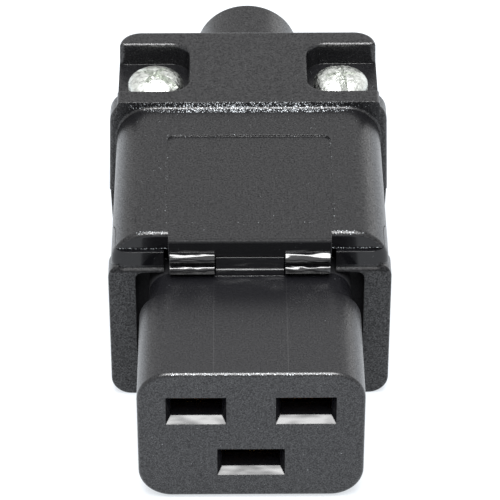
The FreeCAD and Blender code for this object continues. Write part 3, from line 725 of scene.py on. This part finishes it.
def wedge(length: float, top: float, foot: float, low: float, high: float, angle: float) -> bmesh.types.BMesh:
    """Makes a straight cutter through the axis, narrower at its foot.

    Args:
        length: Length across the axis.
        top: Width at the upper end.
        foot: Width at the lower end.
        low: Height of the lower end.
        high: Height of the upper end.
        angle: Turn about the axis.

    Returns:
        A closed mesh.
    """
    shape = bmesh.new()
    bmesh.ops.create_cube(shape, size=1.0)
    for vert in shape.verts:
        width = top if vert.co.z > 0 else foot
        vert.co = Vector((vert.co.x * length, vert.co.y * width, high if vert.co.z > 0 else low))
    bmesh.ops.rotate(shape, cent=(0, 0, 0), matrix=Matrix.Rotation(angle, 3, "Z"), verts=shape.verts[:])
    return shape


def to_object(name: str, shape: bmesh.types.BMesh) -> bpy.types.Object:
    """Turns a bmesh into an object of the scene.

    Args:
        name: Name of the object and its mesh.
        shape: The bmesh, which is used up.

    Returns:
        The new object.
    """
    mesh = bpy.data.meshes.new(name)
    shape.to_mesh(mesh)
    shape.free()
    piece = bpy.data.objects.new(name, mesh)
    bpy.context.collection.objects.link(piece)
    return piece


def apply_modifiers(piece: bpy.types.Object) -> None:
    """Makes the finished surface of a piece its mesh.

    Args:
        piece: Object with live modifiers.
    """
    bpy.context.view_layer.update()
    plain = piece.data
    finished = piece.evaluated_get(bpy.context.evaluated_depsgraph_get())
    piece.data = bpy.data.meshes.new_from_object(finished)
    piece.modifiers.clear()
    bpy.data.meshes.remove(plain)


def carve(piece: bpy.types.Object, cutter: bmesh.types.BMesh, kept: Cut) -> None:
    """Cuts a piece with another shape and keeps the result as its mesh.

    Args:
        piece: Object to change.
        cutter: Shape to carve with.
        kept: Part of the piece that stays.
    """
    tool = to_object("cutter", cutter)
    change = piece.modifiers.new("carve", "BOOLEAN")
    change.operation = kept.value
    change.object = tool
    apply_modifiers(piece)
    bpy.data.objects.remove(tool)


def rounded(piece: bpy.types.Object, width: float) -> None:
    """Breaks the sharp edges of a piece and shades its curved faces smooth.

    Args:
        piece: Object to change.
        width: Width of the broken edge.
    """
    bevel = piece.modifiers.new("edges", "BEVEL")
    bevel.width = width
    bevel.segments = 2
    bevel.angle_limit = BROKEN_ABOVE
    bevel.use_clamp_overlap = True
    apply_modifiers(piece)
    piece.data.shade_smooth()
    piece.data.set_sharp_from_angle(angle=SHARP_ABOVE)


def settle(piece: bpy.types.Object, node: str, material: bpy.types.Material) -> None:
    """Puts a piece that was made about the Z axis in the place of a construction piece.

    Args:
        piece: New object, at its own height.
        node: Construction piece that it stands for.
        material: Finish.
    """
    low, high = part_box(node)
    middle = (low + high) / 2
    piece.data.transform(Matrix.Translation((middle.x, middle.y, 0)))
    piece.data.materials.append(material)
    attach(piece, "root")
    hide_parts(node)
    LOG.info("made %s for %s", piece.name, node)


@dataclass
class MachineScrew:
    """Pan-head machine screw with a combined slot and cross recess and a cut thread."""

    side: Side
    turn: float
    head_radius: float = 3.6 * MM
    head_height: float = 2.5 * MM
    rim: float = 0.7 * MM
    rim_edge: float = 0.1 * MM
    crown_steps: int = 12
    steps: int = 96
    broken_edge: float = 0.07 * MM
    slot_length: float = 10.8 * MM           # right across the head
    slot_width: float = 0.95 * MM
    slot_depth: float = 1.15 * MM
    slot_flare: float = 1.25                 # width at the top over width at the floor
    cross: float = 3.9 * MM
    cross_widths: Pair = (0.9, 0.5)          # at its top and its foot, as shares of the slot's width
    cross_drop: float = 0.3 * MM             # how much deeper than the slot the cross goes
    overcut: float = 1.0 * MM
    shank: float = 1.75 * MM
    root: float = 1.45 * MM
    tip_edge: float = 0.3 * MM
    head_sunk: float = 0.01 * MM             # how far the core reaches into the head
    core_steps: int = 32
    pitch: float = 0.6 * MM
    flank: float = 0.45                      # half the foot of the thread, as a share of the pitch
    thread_start: float = 0.35 * MM          # above the tip
    thread_sunk: float = 0.05 * MM           # how far the foot of the thread lies inside the core
    thread_turns: int = 12
    thread_steps: int = 24                   # in each turn

    def build(self, material: bpy.types.Material) -> None:
        """Turns the head, cuts its recess, adds the threaded shank and puts the screw in place.

        Args:
            material: Finish.
        """
        node = "housing_screw_" + self.side.value
        low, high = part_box(node)
        seat = high.z - self.head_height
        piece = to_object("pan_screw_" + self.side.value, turned(self.outline(seat, high.z), self.steps))
        floor, above = high.z - self.slot_depth, high.z + self.overcut
        slot = wedge(self.slot_length, self.slot_width * self.slot_flare, self.slot_width, floor, above,
                     self.turn)
        carve(piece, slot, Cut.OUTSIDE)
        wide, narrow = (self.slot_width * share for share in self.cross_widths)
        for quarter in (0.0, math.pi / 2):
            arm = wedge(self.cross, wide, narrow, floor - self.cross_drop, above, self.turn + quarter)
            carve(piece, arm, Cut.OUTSIDE)
        rounded(piece, self.broken_edge)
        self.add_shank(piece, low.z, seat)
        settle(piece, node, material)

    def outline(self, seat: float, top: float) -> list[Pair]:
        """Works out the half section of the head, from its seat over the rim to the crown.

        Args:
            seat: Height of the underside.
            top: Height of the crown.

        Returns:
            Radius and height of each corner.
        """
        radius, rise = self.head_radius, top - seat - self.rim
        points = [(0.0, seat), (radius - self.rim_edge, seat), (radius, seat + self.rim_edge),
                  (radius, seat + self.rim)]
        for step in range(1, self.crown_steps):
            angle = math.pi / 2 * step / self.crown_steps
            points.append((radius * math.cos(angle), seat + self.rim + rise * math.sin(angle)))
        return points + [(0.0, top)]

    def add_shank(self, piece: bpy.types.Object, tip: float, seat: float) -> None:
        """Joins a core and a helical thread to the head.

        Args:
            piece: The finished head.
            tip: Height of the shank's end.
            seat: Height of the head's underside.
        """
        shape = bmesh.new()
        shape.from_mesh(piece.data)
        end = seat + self.head_sunk
        core = turned([(0.0, tip), (self.root - self.tip_edge, tip), (self.root, tip + self.tip_edge),
                       (self.root, end), (0.0, end)], self.core_steps)
        for addition in (core, self.thread(tip + self.thread_start)):
            mesh = bpy.data.meshes.new("addition")
            addition.to_mesh(mesh)
            addition.free()
            shape.from_mesh(mesh)
            bpy.data.meshes.remove(mesh)
        shape.to_mesh(piece.data)
        shape.free()

    def thread(self, start: float) -> bmesh.types.BMesh:
        """Sweeps a ridge round the core in a helix.

        Args:
            start: Height of its lower end.

        Returns:
            A closed mesh.
        """
        shape = bmesh.new()
        inner, half = self.root - self.thread_sunk, self.pitch * self.flank
        corners = [shape.verts.new(place) for place in ((inner, 0, start), (self.shank, 0, start + half),
                                                        (inner, 0, start + 2 * half))]
        face = shape.faces.new(corners)
        steps = self.thread_steps * self.thread_turns
        bmesh.ops.spin(shape, geom=[face] + corners + face.edges[:], cent=(0, 0, 0), axis=(0, 0, 1),
                       angle=2 * math.pi * self.thread_turns, steps=steps, use_merge=False,
                       dvec=(0, 0, self.pitch * self.thread_turns / steps))
        bmesh.ops.recalc_face_normals(shape, faces=shape.faces[:])
        return shape


@dataclass
class HexagonNut:
    """Hexagon nut with chamfered corners and a countersunk hole."""

    side: Side
    flats: float = 6.0 * MM
    corners: int = 6
    hole: float = 1.8 * MM
    chamfer: float = 0.35 * MM
    broken_edge: float = 0.05 * MM
    overcut: float = 1.0 * MM
    blank_steps: int = 72
    hole_steps: int = 48

    def build(self, material: bpy.types.Material) -> None:
        """Cuts the hexagon from a turned blank and puts the nut in place.

        Args:
            material: Finish.
        """
        node = "housing_nut_" + self.side.value
        low, high = (end.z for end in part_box(node))
        corner, flat = self.flats / math.sqrt(3), self.flats / 2
        piece = to_object("hex_nut_" + self.side.value, prism(self.corners, corner, low, high))
        blank = turned([(0, low), (flat, low), (corner, low + self.chamfer), (corner, high - self.chamfer),
                        (flat, high), (0, high)], self.blank_steps)
        carve(piece, blank, Cut.INSIDE)
        under, over = low - self.overcut, high + self.overcut
        sink = turned([(0, under), (self.hole + self.overcut, under), (self.hole, low + self.chamfer),
                       (self.hole, over), (0, over)], self.hole_steps)
        carve(piece, sink, Cut.OUTSIDE)
        rounded(piece, self.broken_edge)
        settle(piece, node, material)


@dataclass
class Fasteners:
    """Screws, nuts, saddle plates, clamp and grommet."""

    turns: Pair = (math.radians(-36), math.radians(-82))  # of the left and the right screw's slot

    def dress(self) -> None:
        """Finishes the metal parts in bright zinc, and the soft parts in nylon and rubber."""
        zinc = ZINC_PLATE.build()
        for pole in Pole:
            dress("saddle_plate_" + pole.value, zinc)
            dress("terminal_screw_" + pole.value, zinc)
        for side, turn in zip(Side, self.turns):
            MachineScrew(side, turn).build(zinc)
            HexagonNut(side).build(zinc)
            dress("clamp_screw_" + side.value, zinc)
        dress("cord_clamp", CLAMP_NYLON.build())
        dress("cord_grommet", GROMMET_RUBBER.build())


# ---------------------------------------------------------------- studio


@dataclass(frozen=True)
class SoftBox:
    """Rectangular lamp that faces the connector, by its middle, its width and height, and its power."""

    name: str
    place: tuple[float, float, float]
    size: Pair
    watts: float
    target: tuple[float, float, float] = (0.0, 0.0, 10.0 * MM)

    def hang(self) -> None:
        """Adds the lamp to the scene."""
        lamp = bpy.data.lights.new(self.name, "AREA")
        lamp.shape = "RECTANGLE"
        lamp.size, lamp.size_y = self.size
        lamp.energy = self.watts
        holder = bpy.data.objects.new(self.name, lamp)
        bpy.context.collection.objects.link(holder)
        holder.location = self.place
        holder.rotation_mode = "QUATERNION"
        holder.rotation_quaternion = (Vector(self.place) - Vector(self.target)).to_track_quat("Z", "Y")


@dataclass
class Studio:
    """Pale floor, soft lights and the camera."""

    elevation: float = 37.38                 # degrees of the camera over the horizon
    turn: float = -0.405                     # degrees of the camera about the vertical
    distance: float = 347.0 * MM
    lens_mm: float = 210.5
    sensor_mm: float = 36.0
    clip: Pair = (0.01, 10.0)
    face_height: float = 9.5 * MM            # middle of the mating face, above its foot
    rise: float = 22.09 * MM                 # of the picture's middle over that of the face
    shift_right: float = -0.13 * MM
    floor_size: float = 4.0
    floor_colour: str = "#86888b"
    floor_tint: tuple[float, float, float, float] = (0.96, 1.0, 1.04, 1.0)
    floor_seen: float = 0.66                 # brings the floor up to white for the camera
    floor_mirrored: float = 0.68             # and in reflections, so that the fronts mirror it
    world_light: float = 0.92
    world_seen: float = 0.3                  # brings the world up to white for the camera
    overhead: SoftBox = SoftBox("overhead", (0.0, -0.27, 0.96), (0.6, 0.86), 24.0)
    rear_right: SoftBox = SoftBox("rear_right", (0.62, 0.78, 0.16), (0.5, 0.3), 0.4)

    def build(self) -> None:
        """Makes floor, world, lights and camera."""
        self.floor()
        self.world()
        self.overhead.hang()
        self.rear_right.hang()
        self.camera()

    def floor(self) -> None:
        """Lays a white floor that keeps the shadow of the connector."""
        shape = bmesh.new()
        bmesh.ops.create_grid(shape, x_segments=1, y_segments=1, size=self.floor_size / 2)
        floor = to_object("floor", shape)
        material, graph = new_material("white_floor")
        path = graph.add("LightPath").outputs
        seen = graph.add("Math", {0: path["Is Camera Ray"], 1: self.floor_seen}, operation="MULTIPLY")
        seen = graph.add("Math", {0: path["Is Glossy Ray"], 1: self.floor_mirrored, 2: seen},
                         operation="MULTIPLY_ADD")
        matt = graph.add("BsdfDiffuse", {"Color": linear(self.floor_colour)})
        lift = graph.add("Emission", {"Color": self.floor_tint, "Strength": seen})
        both = graph.add("AddShader", {0: matt, 1: lift})
        graph.add("OutputMaterial", {"Surface": both})
        floor.data.materials.append(material)

    def world(self) -> None:
        """Surrounds the stage with soft white light."""
        world = bpy.data.worlds.new("studio")
        bpy.context.scene.world = world
        world.use_nodes = True
        world.node_tree.nodes.clear()
        graph = Graph(world.node_tree)
        seen = graph.add("LightPath").outputs["Is Camera Ray"]
        extra = graph.add("Math", {0: seen, 1: self.world_seen}, operation="MULTIPLY")
        strength = graph.add("Math", {0: extra, 1: self.world_light}, operation="ADD")
        back = graph.add("Background", {"Color": WHITE, "Strength": strength})
        graph.add("OutputWorld", {"Surface": back})

    def camera(self) -> None:
        """Sets the camera in front of and above the mating face."""
        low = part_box("socket_insert")[0]
        face = Vector((0, low.y, low.z + self.face_height))
        tilt, turn = math.radians(self.elevation), math.radians(self.turn)
        right = Vector((math.cos(turn), math.sin(turn), 0))
        ahead = Vector((-math.sin(turn) * math.cos(tilt), math.cos(turn) * math.cos(tilt), -math.sin(tilt)))
        up = right.cross(ahead)
        data = bpy.data.cameras.new("camera")
        data.lens = self.lens_mm
        data.sensor_width = self.sensor_mm
        data.clip_start, data.clip_end = self.clip
        camera = bpy.data.objects.new("camera", data)
        bpy.context.collection.objects.link(camera)
        camera.matrix_world = Matrix((right, up, -ahead)).transposed().to_4x4()
        camera.location = face - ahead * self.distance + right * self.shift_right + up * self.rise
        bpy.context.scene.camera = camera


# ---------------------------------------------------------------- main


def main() -> None:
    """Builds everything in order."""
    logging.basicConfig(level=logging.INFO, format="%(message)s")
    bpy.context.scene.view_settings.view_transform = "Standard"
    for part in (Housing(), SocketBlock(), Fasteners()):
        part.dress()
    Studio().build()


if __name__ == "__main__":
    main()
